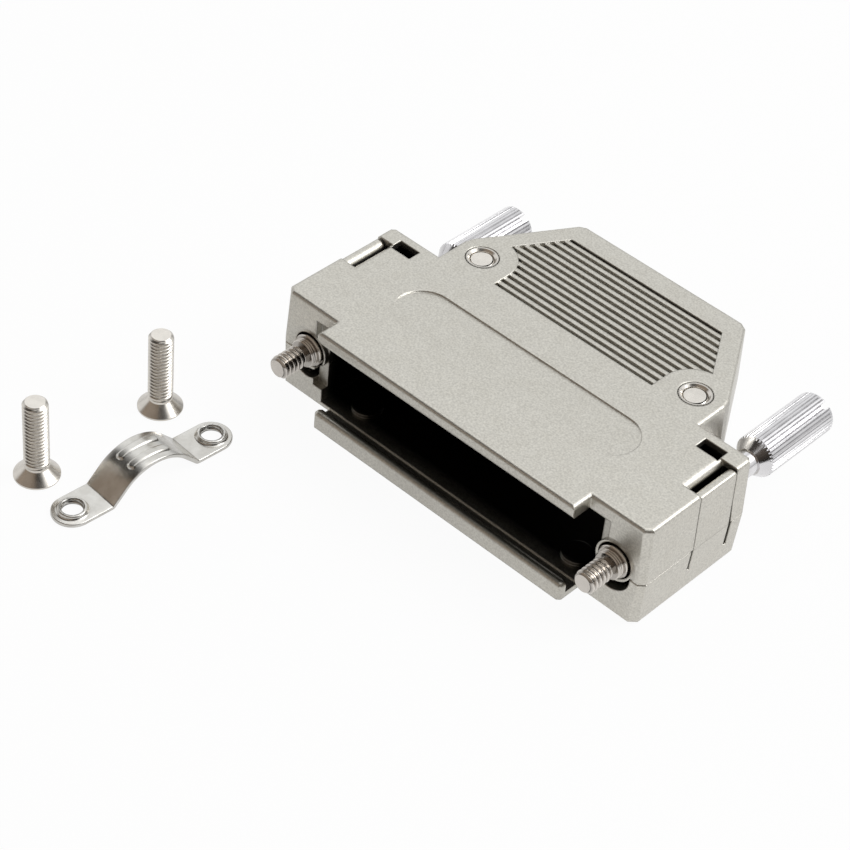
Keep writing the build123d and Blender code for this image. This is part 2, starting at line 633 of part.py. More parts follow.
with BuildPart() as cable_clamp:
    with BuildSketch(clamp_side):
        with BuildLine():
            add(clamp_bend(0))
            offset(amount=CLAMP_SHEET, side=Side.LEFT)
        make_face()
    extrude(amount=CLAMP_WIDTH / 2, both=True)
    with BuildSketch(clamp_plane):
        SlotCenterToCenter(CLAMP_SPACING, CLAMP_WIDTH)
    extrude(amount=2 * CLAMP_CROWN_HEIGHT, mode=Mode.INTERSECT)
    add(clamp_ribs.part)
    with BuildSketch(clamp_plane):
        with Locations((-CLAMP_SPACING / 2, 0), (CLAMP_SPACING / 2, 0)):
            Circle(EYELET_RADIUS)
    extrude(amount=CLAMP_SHEET + EYELET_RISE)
    with BuildSketch(clamp_plane):
        with Locations((-CLAMP_SPACING / 2, 0), (CLAMP_SPACING / 2, 0)):
            Circle(EYELET_BORE)
    extrude(amount=CLAMP_CROWN_HEIGHT, mode=Mode.SUBTRACT)

cable_clamp.part.label = "cable_clamp"

for shell in (upper_shell, lower_shell, cable_clamp):
    export_step(shell.part, f"parts/{shell.part.label}.step")
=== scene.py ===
import math

import bmesh
import bpy
from mathutils import Matrix, Vector


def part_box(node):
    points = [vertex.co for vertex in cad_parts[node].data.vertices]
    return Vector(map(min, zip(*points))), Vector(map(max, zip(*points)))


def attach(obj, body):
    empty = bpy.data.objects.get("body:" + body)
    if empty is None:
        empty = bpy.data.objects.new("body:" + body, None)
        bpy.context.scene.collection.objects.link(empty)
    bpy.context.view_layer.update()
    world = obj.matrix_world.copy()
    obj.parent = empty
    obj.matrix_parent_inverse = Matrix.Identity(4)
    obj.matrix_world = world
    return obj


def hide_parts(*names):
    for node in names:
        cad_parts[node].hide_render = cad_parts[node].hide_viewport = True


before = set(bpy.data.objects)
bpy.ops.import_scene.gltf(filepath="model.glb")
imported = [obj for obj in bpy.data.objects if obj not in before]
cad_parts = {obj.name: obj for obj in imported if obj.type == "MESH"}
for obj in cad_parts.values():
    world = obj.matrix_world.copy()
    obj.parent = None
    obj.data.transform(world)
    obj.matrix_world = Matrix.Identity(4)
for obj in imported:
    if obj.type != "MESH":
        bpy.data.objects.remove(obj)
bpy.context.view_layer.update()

MM = 0.001
TURN = 2 * math.pi
BLACK = (0.0, 0.0, 0.0, 1.0)
WHITE = (1.0, 1.0, 1.0, 1.0)
METAL = {"Metallic": 1.0}

# Meshes: edges bent by more than this angle are sharp, points this near each other are one, and
# a point this far past the end of a feature still belongs to it
SHARP_ANGLE = math.radians(32)
MERGE_DISTANCE = 1e-7
ON_EDGE = 0.01 * MM

# Threads: rows of the grid in one turn, and the depth as a share of the pitch
THREAD_STEPS = 24
THREAD_DEPTH = 0.58

# Camera of the photograph: azimuth, elevation and roll in degrees, lens and sensor in millimetres
CAMERA_AZIMUTH = 39.21
CAMERA_ELEVATION = 41.6
CAMERA_ROLL = 6.24
CAMERA_TARGET = Vector((-4.5, -0.2, 8.5)) * MM
CAMERA_DISTANCE = 287.1 * MM
CAMERA_CLIP = 0.01
CAMERA_LENS = 107.22
SENSOR_WIDTH = 36.0

# Floor: nearly white to the camera. In reflections its glow is painted dimmer to the front left,
# as shade where the light falls off. The shares say how much of what each kind of ray sees is
# its own light.
FLOOR_HALF = 1.5
FLOOR_DROP = 0.02 * MM
FLOOR_SURFACE = {
    "Base Color": (0.86, 0.86, 0.86, 1.0),
    "Roughness": 1.0,
    "Specular IOR Level": 0.0,
}
FLOOR_SHARES = [("Is Camera Ray", 0.95), ("Is Glossy Ray", 0.75), ("Is Transmission Ray", 0.75)]
FLOOR_TOWARD = (0.63, 0.77, 0.0)
FLOOR_REACH = (-10 * MM, 20 * MM)
FLOOR_DIM = 0.78

# Surroundings: their strength rises with height and is full only to the left. Along Y their
# colours go from a dim brown room in front, over a black gap, to a softbox all round the rear.
SKY_HEIGHT = (0.03, 0.32)
SKY_STRENGTH = (0.3, 1.0)
SKY_SIDE = (-0.6, -0.2)
SKY_SIDE_STRENGTH = (1.0, 0.78)
SURROUNDINGS = [
    (-1.0, (0.52, 0.475, 0.425)),
    (-0.6, (0.29, 0.23, 0.18)),
    (-0.45, (0.03, 0.026, 0.022)),
    (-0.06, (0.03, 0.028, 0.025)),
    (0.16, (0.97, 0.98, 0.985)),
]
# Windows in them: direction, the cosines between which the light rises, and strength
WINDOWS = [
    ((0.66, 0.58, 0.47), (0.8, 0.97), 0.4),
    ((-0.95, -0.2, 0.3), (0.9, 0.97), 0.8),
]
# Lamps: name, place, width and power
LAMP_TARGET = (0, 0.01, 0)
LAMPS = [
    ("key", (0.3, 0.3, 0.45), 0.3, 1.2),
    ("overhead", (0.1, 0.15, 0.7), 0.85, 1.5),
]

# Noises: scale, detail and roughness. The casting's grain is turned off the axes, so that it
# makes no pattern with a flat face.
GRAIN_TURN = (0.61, 0.37, 0.53)
GRAIN_NOISE = (4400.0, 1.0, 0.45)
BLOTCH_NOISE = (420.0, 3.0, 0.5)
TURNED_NOISE = (700.0, 3.0, 0.5)
HAZE_NOISE = (500.0, 4.0, 0.55)
MARKS_NOISE = (1100.0, 2.0, 0.6)

# Cast shells: grain and blotches outside, painted shade inside, rounded edges
GRAIN_COLOURS = [(0.3, (0.545, 0.526, 0.478)), (0.7, (0.695, 0.674, 0.615))]
BLOTCH_COLOURS = [(0.35, (0.975, 0.972, 0.965)), (0.6, (1.0, 1.0, 1.0))]
# Painted shade: colour of the chamber's inside, which stands in for the shade in there
CHAMBER_SHADE_COLOUR = (0.035, 0.032, 0.028, 1.0)
CAST_ROUGHNESS = (0.34, 0.4)
GRAIN_BUMP = 0.22
GRAIN_HEIGHT = 0.02 * MM
CAST_EDGE = 0.28 * MM
SHADER_SAMPLES = 8

# Crevices of the castings, where shade is painted: how far the open sky is looked for, and the
# shares of it between which the colour goes from painted shade to clear
CREVICE_REACH = 1.0 * MM
CREVICE_SHADE_SHARE = (0.05, 0.32)
CREVICE_SHADE_COLOUR = (0.03, 0.027, 0.024, 1.0)

# Chamber inside the walls, where shade is painted: (place along Y, half width) in metres, and where
# it fades out
CHAMBER_OUTLINE = [
    (0.0, 0.0262),
    (0.0168, 0.0262),
    (0.0169, 0.0188),
    (0.0228, 0.0188),
    (0.0346, 0.0114),
]
CHAMBER_REAR = 34.6 * MM
CHAMBER_FLOOR = 0.96 * MM
CHAMBER_FADES = [
    ("Y", (0.6 * MM, 2.2 * MM)),
    ("Z", (CHAMBER_FLOOR - 0.02 * MM, CHAMBER_FLOOR + 0.04 * MM)),
    ("Z", (13.62 * MM, 13.3 * MM)),
    ("Y", (CHAMBER_REAR + 0.1 * MM, CHAMBER_REAR)),
]

# Turned metal: colour at the knob, colour at the thread, roughness
KNOB_METAL = ((0.8, 0.79, 0.8), (0.84, 0.79, 0.73), 0.19)
ROLLED_METAL = ((0.84, 0.8, 0.74), (0.84, 0.8, 0.74), 0.24)
WARM_END = (4 * MM, 8 * MM)
TURNED_HAZE = [(0.35, (0.9, 0.9, 0.9)), (0.65, (1.0, 1.0, 1.0))]
TURNED_ROUGHNESS = (0.8, 1.25)

# Pressed metal
PRESSED_HAZE = [(0.35, (0.64, 0.62, 0.58)), (0.65, (0.77, 0.755, 0.72))]
PRESSED_ROUGHNESS = (0.2, 0.3)
MARKS_BUMP = 0.12
MARKS_HEIGHT = 0.05 * MM

# Painted shade: the colour's share that is left in roots, grooves and shaded places of turned and
# pressed metal
ROOT_SHADE = 0.35
ROLLED_SHADE = 0.85
KNURL_SHADE = 0.66
COLLAR_SHADE = 0.6
TIP_SHADE = 0.85

# Thumbscrew, with places along Y: a 4-40 thread, an undercut, a grooved collar and the shaft
THUMB_PITCH = 0.635 * MM
THUMB_THREAD_RADIUS = 1.42 * MM
THUMB_THREAD_END = -1.35 * MM
THUMB_LEAD = 0.32 * MM
THUMB_LEAD_SLOPE = 1.2
THUMB_UNDERCUT_RADIUS = 1.05 * MM
THUMB_UNDERCUT_GAP = 0.05 * MM
NOSE_RADIUS = 1.76 * MM
NOSE_FRONT = -1.0 * MM
COLLAR_GROOVES = (-0.74 * MM, -0.42 * MM)
COLLAR_GROOVE = 0.12 * MM
GROOVE_STEPS = 3
COLLAR_FRONT = -0.12 * MM
COLLAR_BACK = 1.3 * MM
COLLAR_RADIUS = 2.08 * MM
SHAFT_RADIUS = 1.5 * MM

# Its knob: a cone that the knurl runs out on, straight knurls and a driver slot
KNOB_RADIUS = 2.67 * MM
KNOB_FRONT = 24.05 * MM
KNOB_NOSE_RADIUS = 1.7 * MM
KNOB_CHAMFER = 0.25 * MM
CONE_STEPS = 14
KNURL_START = 25.45 * MM
KNURL_COUNT = 36
KNURL_DEPTH = 0.2 * MM
KNURL_VALLEY = 0.5
KNURL_SEGMENTS = 8
KNURL_CREST = 0.2
SLOT_WIDTH = 0.8 * MM
SLOT_DEPTH = 1.1 * MM
SLOT_ANGLE = math.radians(58)

# M3 countersunk screws
ROUND_SEGMENTS = 96
M3_PITCH = 0.5 * MM
M3_RADIUS = 1.5 * MM
M3_LEAD_SLOPE = 1.1
M3_ROOT = M3_RADIUS - 0.5 * M3_PITCH
M3_CREST = M3_RADIUS - 0.05 * M3_PITCH
CLAMP_SCREW_CHAMFER = 0.35 * MM
CLOSING_SCREW_CHAMFER = 0.14 * MM
HEAD_RADIUS = 2.72 * MM
HEAD_RIM = 0.25 * MM
HEAD_EDGE = (0.04 * MM, 0.05 * MM)
NECK_LENGTH = 0.25 * MM
NECK_RADIUS = M3_RADIUS - 0.05 * MM
THREAD_RUNOUT = 0.8 * MM
RECESS_WIDTH = 0.7 * MM
RECESS_LENGTH = 2.8 * MM
RECESS_DEPTH = 1.1 * MM

# Threaded inserts
INSERT_TEETH = 36
INSERT_TOOTH = 0.16 * MM
INSERT_TOOTH_SEGMENTS = 6
INSERT_EDGE = 0.12 * MM
INSERT_PLAY = 0.02 * MM
INSERT_BORE_CHAMFER = 0.25 * MM

# Cable clamp, as bent in the CAD model: a strip with an arch between two feet
CLAMP_ANGLE = math.radians(86.43)
CLAMP_SPACING = 20.1 * MM
CLAMP_WIDTH = 4.95 * MM
CLAMP_SHEET = 0.5 * MM
CLAMP_EDGE = 0.12 * MM
CLAMP_EDGE_STEPS = 3
CLAMP_ARCH_HALF = 6.0 * MM
CLAMP_CROWN = 3.6 * MM
CLAMP_FOOT_RADIUS = 0.8 * MM
CLAMP_STATION = 0.16 * MM
CLAMP_END_STEPS = 40
# Radii of the bends' middle surfaces, the straight flank between them and the strip's bent half
BEND = math.pi / 4
BEND_SLOPE = math.sqrt(0.5)
CLAMP_ARCH_RADIUS = (CLAMP_ARCH_HALF - CLAMP_CROWN) / (math.sqrt(2) - 1)
CLAMP_FOOT_END = CLAMP_FOOT_RADIUS * math.tan(BEND / 2)
CLAMP_FLANK = math.sqrt(2) * CLAMP_ARCH_HALF - CLAMP_ARCH_RADIUS - CLAMP_FOOT_END
ARCH = CLAMP_ARCH_RADIUS + CLAMP_SHEET / 2
FOOT = CLAMP_FOOT_RADIUS - CLAMP_SHEET / 2
CLAMP_BENT = (ARCH + FOOT) * BEND + CLAMP_FLANK

# Embossed ribs along the clamp
RIB_PLACES = (-1.0 * MM, 1.0 * MM)
RIB_RADIUS = 0.62 * MM
RIB_HALF_LENGTH = 2.9 * MM
RIB_HEIGHT = 0.24 * MM
RIB_FLANK = 0.45
RIB_STEPS = 7

# Drawn and threaded eyelets of the clamp: (height, radius) in millimetres round their edge
EYELET_HOLE = 1.6 * MM
EYELET_BORE = 1.25 * MM
EYELET_THREAD = 0.14 * MM
EYELET_ROWS = 12
EYELET_PROFILE = [
    (0.0, 1.42),
    (0.0, 1.7),
    (0.3, 1.95),
    (0.49, 2.02),
    (0.515, 1.95),
    (0.56, 1.87),
    (0.64, 1.79),
    (0.74, 1.74),
    (0.84, 1.72),
    (0.92, 1.69),
    (0.97, 1.63),
    (0.99, 1.56),
    (0.99, 1.46),
    (0.97, 1.38),
    (0.91, 1.31),
    (0.82, 1.26),
]
# A point up to this many times its depth from its crest belongs to a tooth or a thread
ROOT_REACH = 1.5


class Nodes:
    """Short ways to add linked nodes to the tree of one material or world."""

    def __init__(self, owner):
        self.tree = owner.node_tree

    def set(self, node, key, value):
        """Links an input to a socket, or gives it a constant value."""
        if isinstance(value, bpy.types.NodeSocket):
            self.tree.links.new(value, node.inputs[key])
        else:
            node.inputs[key].default_value = value

    def add(self, kind, inputs=(), **settings):
        node = self.tree.nodes.new(kind)
        for key, value in settings.items():
            setattr(node, key, value)
        for key, value in dict(inputs).items():
            self.set(node, key, value)
        return node

    def calc(self, operation, *values):
        inputs = dict(enumerate(values))
        return self.add("ShaderNodeMath", inputs, operation=operation).outputs[0]

    def dot(self, vector, direction):
        inputs = {0: vector, 1: direction}
        node = self.add("ShaderNodeVectorMath", inputs, operation="DOT_PRODUCT")
        return node.outputs["Value"]

    def axes(self, vector):
        return self.add("ShaderNodeSeparateXYZ", {"Vector": vector}).outputs

    def where(self, turn=(0.0, 0.0, 0.0)):
        """Place in the object's own space, with its axes turned."""
        place = self.add("ShaderNodeTexCoord").outputs["Object"]
        inputs = {"Vector": place, "Rotation": turn}
        return self.add("ShaderNodeMapping", inputs).outputs["Vector"]

    def span(self, value, reach, result=(0.0, 1.0), kind="LINEAR"):
        """Value taken from the range reach to the range result, and kept in it."""
        inputs = {"Value": value, "From Min": reach[0], "From Max": reach[1]}
        inputs.update({"To Min": result[0], "To Max": result[1]})
        return self.add("ShaderNodeMapRange", inputs, interpolation_type=kind).outputs["Result"]

    def noise(self, vector, scale, detail, roughness):
        inputs = {"Vector": vector, "Scale": scale, "Detail": detail, "Roughness": roughness}
        return self.add("ShaderNodeTexNoise", inputs).outputs["Fac"]

    def ramp(self, factor, stops):
        """Colour for a factor, between stops of (place, colour)."""
        node = self.add("ShaderNodeValToRGB", {"Fac": factor})
        elements = node.color_ramp.elements
        for place, _ in stops[1:-1]:
            elements.new(place)
        for element, (place, colour) in zip(elements, stops):
            element.position = place
            element.color = (*colour, 1.0)
        return node.outputs["Color"]

    def mix(self, low, high, factor, blend="MIX"):
        """Colour mix of low and high, which are sockets or colours."""
        inputs = {"Factor": factor, 6: low, 7: high}
        node = self.add("ShaderNodeMix", inputs, data_type="RGBA", blend_type=blend)
        return node.outputs[2]


def new_material(name, constants):
    """A material with its Nodes and its shader, whose constant sockets are set."""
    material = bpy.data.materials.new(name)
    material.use_nodes = True
    shader = material.node_tree.nodes["Principled BSDF"]
    for socket, value in constants.items():
        shader.inputs[socket].default_value = value
    return material, Nodes(material), shader


def chamber_shade_share(nodes, where):
    """Share of painted shade: 1 inside the housing's walls and 0 on its outside, from the place in
    the object.
    """
    axes = nodes.axes(where)
    along = nodes.calc("MULTIPLY", axes["Y"], 1.0 / CHAMBER_REAR)
    stops = []
    for place, half_width in CHAMBER_OUTLINE:
        stops.append((place / CHAMBER_REAR, [half_width / CHAMBER_REAR] * 3))
    limit = nodes.calc("MULTIPLY", nodes.ramp(along, stops), CHAMBER_REAR)
    share = nodes.calc("LESS_THAN", nodes.calc("ABSOLUTE", axes["X"]), limit)
    for axis, reach in CHAMBER_FADES:
        share = nodes.calc("MULTIPLY", share, nodes.span(axes[axis], reach))
    return share


def crevice_shade(nodes, colour):
    """Colour with painted shade in its narrow slots, joints and roots, where the open sky is
    hidden.
    """
    inputs = {"Distance": CREVICE_REACH}
    sky = nodes.add("ShaderNodeAmbientOcclusion", inputs, samples=SHADER_SAMPLES).outputs["AO"]
    return nodes.mix(CREVICE_SHADE_COLOUR, colour, nodes.span(sky, CREVICE_SHADE_SHARE, kind="SMOOTHSTEP"))


def cast_nickel():
    """Satin nickel on a casting: fine grain outside, painted shade in its crevices and inside the
    chamber.
    """
    material, nodes, shader = new_material("cast_nickel", METAL)
    where = nodes.where()
    grain = nodes.noise(nodes.where(GRAIN_TURN), *GRAIN_NOISE)
    blotch = nodes.noise(where, *BLOTCH_NOISE)
    speck = nodes.ramp(grain, GRAIN_COLOURS)
    patch = nodes.ramp(blotch, BLOTCH_COLOURS)
    # Painted shade in the crevices, from ambient occlusion
    outside = crevice_shade(nodes, nodes.mix(speck, patch, 1.0, "MULTIPLY"))
    inside = chamber_shade_share(nodes, where)
    # Painted shade inside the chamber, mixed over the outside colour
    nodes.set(shader, "Base Color", nodes.mix(outside, CHAMBER_SHADE_COLOUR, inside))
    nodes.set(shader, "Roughness", nodes.span(blotch, (0.0, 1.0), CAST_ROUGHNESS))
    edge = nodes.add("ShaderNodeBevel", {"Radius": CAST_EDGE}, samples=SHADER_SAMPLES)
    inputs = {"Height": grain, "Strength": GRAIN_BUMP, "Distance": GRAIN_HEIGHT}
    bump = nodes.add("ShaderNodeBump", {**inputs, "Normal": edge.outputs["Normal"]})
    nodes.set(shader, "Normal", bump.outputs["Normal"])
    return material


def shaded(nodes, colour):
    """Colour with painted shade in the roots of its threads and grooves, from the vertex attribute
    "open".
    """
    share = nodes.add("ShaderNodeAttribute", attribute_name="open").outputs["Fac"]
    return nodes.mix(BLACK, colour, share)


def turned_nickel(name, colour, warm, roughness):
    """Bright nickel over turned steel, warmer at the thread than at the knob."""
    material, nodes, shader = new_material(name, METAL)
    where = nodes.where()
    haze = nodes.noise(where, *TURNED_NOISE)
    tone = nodes.mix((*warm, 1.0), (*colour, 1.0), nodes.span(nodes.axes(where)["Y"], WARM_END))
    plating = nodes.mix(tone, nodes.ramp(haze, TURNED_HAZE), 1.0, "MULTIPLY")
    nodes.set(shader, "Base Color", shaded(nodes, plating))
    result = [roughness * share for share in TURNED_ROUGHNESS]
    nodes.set(shader, "Roughness", nodes.span(haze, (0.0, 1.0), result))
    return material


def pressed_nickel():
    """Bright nickel on pressed sheet, with handling haze and small tool marks."""
    material, nodes, shader = new_material("pressed_nickel", METAL)
    where = nodes.where()
    haze = nodes.noise(where, *HAZE_NOISE)
    marks = nodes.noise(where, *MARKS_NOISE)
    nodes.set(shader, "Base Color", shaded(nodes, nodes.ramp(haze, PRESSED_HAZE)))
    nodes.set(shader, "Roughness", nodes.span(haze, (0.0, 1.0), PRESSED_ROUGHNESS))
    inputs = {"Height": marks, "Strength": MARKS_BUMP, "Distance": MARKS_HEIGHT}
    nodes.set(shader, "Normal", nodes.add("ShaderNodeBump", inputs).outputs["Normal"])
    return material


def floor_white():
    """White floor with its own light, which keeps part of the shadow; in reflections its glow is
    painted dimmer to the front left.
    """
    material, nodes, shader = new_material("floor_white", FLOOR_SURFACE)
    light_path = nodes.add("ShaderNodeLightPath").outputs
    share = 0.0
    for ray, weight in FLOOR_SHARES:
        share = nodes.calc("MULTIPLY_ADD", light_path[ray], weight, share)
    place = nodes.add("ShaderNodeTexCoord").outputs["Object"]
    along = nodes.dot(place, FLOOR_TOWARD)
    # Painted shade: the glow fades to FLOOR_DIM towards the front left
    lit = nodes.span(along, FLOOR_REACH, (FLOOR_DIM, 1.0), "SMOOTHSTEP")
    strength = nodes.calc("MAXIMUM", lit, light_path["Is Camera Ray"])
    glow = nodes.add("ShaderNodeEmission", {"Color": WHITE, "Strength": strength})
    inputs = {"Fac": share, 1: shader.outputs[0], 2: glow.outputs[0]}
    blend = nodes.add("ShaderNodeMixShader", inputs)
    nodes.set(nodes.tree.nodes["Material Output"], "Surface", blend.outputs[0])
    return material


def limited(value):
    return min(max(value, 0.0), 1.0)


def thread_height(turn):
    """Height of a 60 degree thread, 0 at the root and 1 at the crest, for a place in turns."""
    rise = 1.0 - abs(2.0 * (turn % 1.0) - 1.0)
    return limited(1.5 * rise - 0.25)


def on_circle(height, angle, radius):
    return (radius * math.cos(angle), radius * math.sin(angle), height)


def new_piece(name, points, faces):
    mesh = bpy.data.meshes.new(name)
    mesh.from_pydata(points, [], faces)
    piece = bpy.data.objects.new(name, mesh)
    bpy.context.scene.collection.objects.link(piece)
    return piece


def lathe(name, stations, segments, offset=None, thread=None):
    """Closed solid of revolution about local +Z through (height, radius) stations.

    offset(height, radius, angle) is taken off for knurls. thread is (index, end, pitch, size):
    after that station a helical grid runs up to the height end, and size(height, angle) is its
    radius. The grid's rows climb with the thread, so its crests are true edges. Each row is kept
    with the number of rows that it climbs in one turn, by which its last face skips.
    """
    angles = [TURN * step / segments for step in range(segments)]
    rows = []
    for index, (height, radius) in enumerate(stations):
        row = []
        for angle in angles:
            less = offset(height, radius, angle) if offset else 0.0
            row.append(on_circle(height, angle, radius - less))
        rows.append((row, 0))
        if thread and index == thread[0]:
            end, pitch, size = thread[1:]
            last = math.ceil((end - height) / pitch * THREAD_STEPS)
            for turn in range(-THREAD_STEPS, last + 1):
                row = []
                for step, angle in enumerate(angles):
                    climb = pitch * (turn / THREAD_STEPS + step / segments)
                    place = min(max(height + climb, height), end)
                    row.append(on_circle(place, angle, size(place, angle)))
                rows.append((row, min(THREAD_STEPS, last - turn)))
    points = [point for row, _ in rows for point in row]
    faces = []
    for index in range(len(rows) - 1):
        low, high = index * segments, (index + 1) * segments
        for step in range(segments - 1):
            faces.append((low + step, low + step + 1, high + step + 1, high + step))
        far_low = low + rows[index][1] * segments
        far_high = high + rows[index + 1][1] * segments
        faces.append((low + segments - 1, far_low, far_high, high + segments - 1))
    for index, order in ((0, -1), (len(rows) - 1, 1)):
        centre = len(points)
        points.append((0.0, 0.0, rows[index][0][0][2]))
        for step in range(segments):
            rim = (index * segments + step, index * segments + (step + 1) % segments)
            faces.append((centre, *rim[::order]))
    return new_piece(name, points, faces)


def ring(name, profile, segments, offset):
    """Closed ring about local +Z from a closed loop of (height, radius); offset is taken off."""
    points = []
    for height, radius in profile:
        for step in range(segments):
            angle = TURN * step / segments
            points.append(on_circle(height, angle, radius - offset(height, radius, angle)))
    faces = []
    for row in range(len(profile)):
        low, high = row * segments, (row + 1) % len(profile) * segments
        for step in range(segments):
            after = (step + 1) % segments
            faces.append((low + step, low + after, high + after, high + step))
    return new_piece(name, points, faces)


def combine(piece, tools):
    """Cuts or joins other objects, given as (object, operation), and applies the result."""
    for tool, operation in tools:
        modifier = piece.modifiers.new("combine", "BOOLEAN")
        modifier.object = tool
        modifier.operation = operation
        modifier.solver = "EXACT"
    bpy.context.view_layer.update()
    depsgraph = bpy.context.evaluated_depsgraph_get()
    result = bpy.data.meshes.new_from_object(piece.evaluated_get(depsgraph))
    piece.modifiers.clear()
    piece.data = result
    for tool, _ in tools:
        bpy.data.objects.remove(tool)


def cut(piece, boxes):
    """Cuts boxes, given as (size, matrix), out of a piece."""
    tools = []
    for size, matrix in boxes:
        bm = bmesh.new()
        bmesh.ops.create_cube(bm, size=1.0)
        bmesh.ops.transform(bm, matrix=matrix @ Matrix.Diagonal((*size, 1.0)), verts=bm.verts)
        cutter = new_piece("cutter", [], [])
        bm.to_mesh(cutter.data)
        bm.free()
        tools.append((cutter, "DIFFERENCE"))
    combine(piece, tools)


def smooth(piece, thread=None):
    """Smooth shading with its corners kept sharp, except inside a thread.

    thread is (axis, low, high): the part of the piece along that axis that is all soft.
    """
    bm = bmesh.new()
    bm.from_mesh(piece.data)
    bmesh.ops.remove_doubles(bm, verts=bm.verts, dist=MERGE_DISTANCE)
    bmesh.ops.recalc_face_normals(bm, faces=bm.faces)
    for face in bm.faces:
        face.smooth = True
    for edge in bm.edges:
        soft = False
        if thread:
            axis, low, high = thread
            soft = all(low < vert.co[axis] < high for vert in edge.verts)
        flat = len(edge.link_faces) == 2 and edge.calc_face_angle(0.0) < SHARP_ANGLE
        edge.smooth = soft or flat
    bm.to_mesh(piece.data)
    bm.free()


def mark_painted_shade(piece, share):
    """Vertex attribute "open" for painted shade: share(place) is 1 in the open and less in roots
    and grooves.
    """
    shade_attribute = piece.data.attributes.new("open", "FLOAT", "POINT")
    shade_attribute.data.foreach_set("value", [share(vert.co) for vert in piece.data.vertices])


def root_share(radius, low, high, dark):
    """Share of painted shade, from dark at the radius low to 1 at the radius high."""
    return dark + (1.0 - dark) * limited((radius - low) / (high - low))


def finish_piece(piece, node, body, material, share, thread=None):
    """Shades a finished mesh smooth, marks its painted shade from share, gives it its material and
    puts it in its node's place.
    """
    smooth(piece, thread)
    mark_painted_shade(piece, share)
    piece.data.materials.clear()
    piece.data.materials.append(material)
    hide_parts(node)
    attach(piece, body)


def thumb_stations(tip, end):
    """Outline of the thumbscrew from its tip to its slotted end, without its thread."""
    stations = [
        (tip, THUMB_THREAD_RADIUS - THUMB_LEAD),
        (THUMB_THREAD_END + THUMB_UNDERCUT_GAP, THUMB_UNDERCUT_RADIUS),
        (NOSE_FRONT, THUMB_UNDERCUT_RADIUS),
        (NOSE_FRONT, NOSE_RADIUS - COLLAR_GROOVE),
        (NOSE_FRONT + COLLAR_GROOVE, NOSE_RADIUS),
    ]
    for place in COLLAR_GROOVES:
        for step in range(-GROOVE_STEPS, GROOVE_STEPS + 1):
            dip = COLLAR_GROOVE * (0.5 + 0.5 * math.cos(math.pi * step / GROOVE_STEPS))
            stations.append((place + COLLAR_GROOVE * step / GROOVE_STEPS, NOSE_RADIUS - dip))
    stations += [
        (COLLAR_FRONT, NOSE_RADIUS),
        (COLLAR_FRONT, COLLAR_RADIUS - COLLAR_GROOVE),
        (COLLAR_FRONT + COLLAR_GROOVE, COLLAR_RADIUS),
        (COLLAR_BACK - COLLAR_GROOVE, COLLAR_RADIUS),
        (COLLAR_BACK, COLLAR_RADIUS - COLLAR_GROOVE),
        (COLLAR_BACK, SHAFT_RADIUS),
        (KNOB_FRONT, SHAFT_RADIUS),
    ]
    for step in range(CONE_STEPS + 1):
        share = step / CONE_STEPS
        height = KNOB_FRONT + share * (KNURL_START - KNOB_FRONT)
        stations.append((height, KNOB_NOSE_RADIUS + share * (KNOB_RADIUS - KNOB_NOSE_RADIUS)))
    stations.append((end - KNOB_CHAMFER, KNOB_RADIUS))
    stations.append((end, KNOB_RADIUS - KNOB_CHAMFER))
    return stations


def thumbscrew(side, material):
    """Turned screw with its 4-40 thread, collar, shaft and straight-knurled knob."""
    node = f"thumbscrew_{side}"
    low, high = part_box(node)
    middle = (low + high) / 2
    tip, end = low.y, high.y
    root = THUMB_THREAD_RADIUS - THREAD_DEPTH * THUMB_PITCH

    def thread(height, angle):
        turn = (height - tip) / THUMB_PITCH - angle / TURN
        depth = THREAD_DEPTH * THUMB_PITCH * (1.0 - thread_height(turn))
        lead = THUMB_THREAD_RADIUS - THUMB_LEAD + THUMB_LEAD_SLOPE * (height - tip)
        runout = root + THUMB_LEAD_SLOPE * (THUMB_THREAD_END - height)
        return min(THUMB_THREAD_RADIUS - depth, lead, runout)

    def offset(height, radius, angle):
        if height < KNOB_FRONT:
            return 0.0
        place = abs((KNURL_COUNT * angle / math.pi) % 2.0 - 1.0)
        depth = KNURL_DEPTH * max(0.0, 1.0 - place / KNURL_VALLEY)
        return max(0.0, radius - KNOB_RADIUS + depth)

    # Painted shade of the thread roots, the collar's grooves and front, the tip and the knurl
    # valleys
    def share(place):
        radius = math.hypot(place.x - middle.x, place.z - middle.z)
        if place.y < tip + ON_EDGE:
            return TIP_SHADE
        if place.y < THUMB_THREAD_END:
            return root_share(radius, root, THUMB_THREAD_RADIUS, ROOT_SHADE)
        if place.y < NOSE_FRONT + ON_EDGE:
            return COLLAR_SHADE
        if place.y < COLLAR_FRONT - ON_EDGE:
            return root_share(radius, NOSE_RADIUS - COLLAR_GROOVE, NOSE_RADIUS, ROOT_SHADE)
        if place.y < 0.0:
            return COLLAR_SHADE
        if place.y < KNOB_FRONT:
            return 1.0
        cone = min((place.y - KNOB_FRONT) / (KNURL_START - KNOB_FRONT), 1.0)
        outer = KNOB_NOSE_RADIUS + cone * (KNOB_RADIUS - KNOB_NOSE_RADIUS)
        if place.y > end - KNOB_CHAMFER - ON_EDGE:
            outer = KNOB_RADIUS - KNOB_CHAMFER
        crest = outer - KNURL_CREST * KNURL_DEPTH
        return root_share(radius, outer - KNURL_DEPTH, crest, KNURL_SHADE)

    stations = thumb_stations(tip, end)
    spiral = (0, THUMB_THREAD_END, THUMB_PITCH, thread)
    piece = lathe(f"turned_{node}", stations, KNURL_SEGMENTS * KNURL_COUNT, offset, spiral)
    slot_place = Matrix.Translation((0, 0, end)) @ Matrix.Rotation(-SLOT_ANGLE, 4, "Z")
    cut(piece, [((3 * KNOB_RADIUS, SLOT_WIDTH, 2 * SLOT_DEPTH), slot_place)])
    along_y = Matrix.Rotation(-math.pi / 2, 4, "X")
    piece.data.transform(Matrix.Translation((middle.x, 0, middle.z)) @ along_y)
    soft = (1, tip, THUMB_THREAD_END)
    finish_piece(piece, node, f"{side}_thumbscrew", material, share, soft)


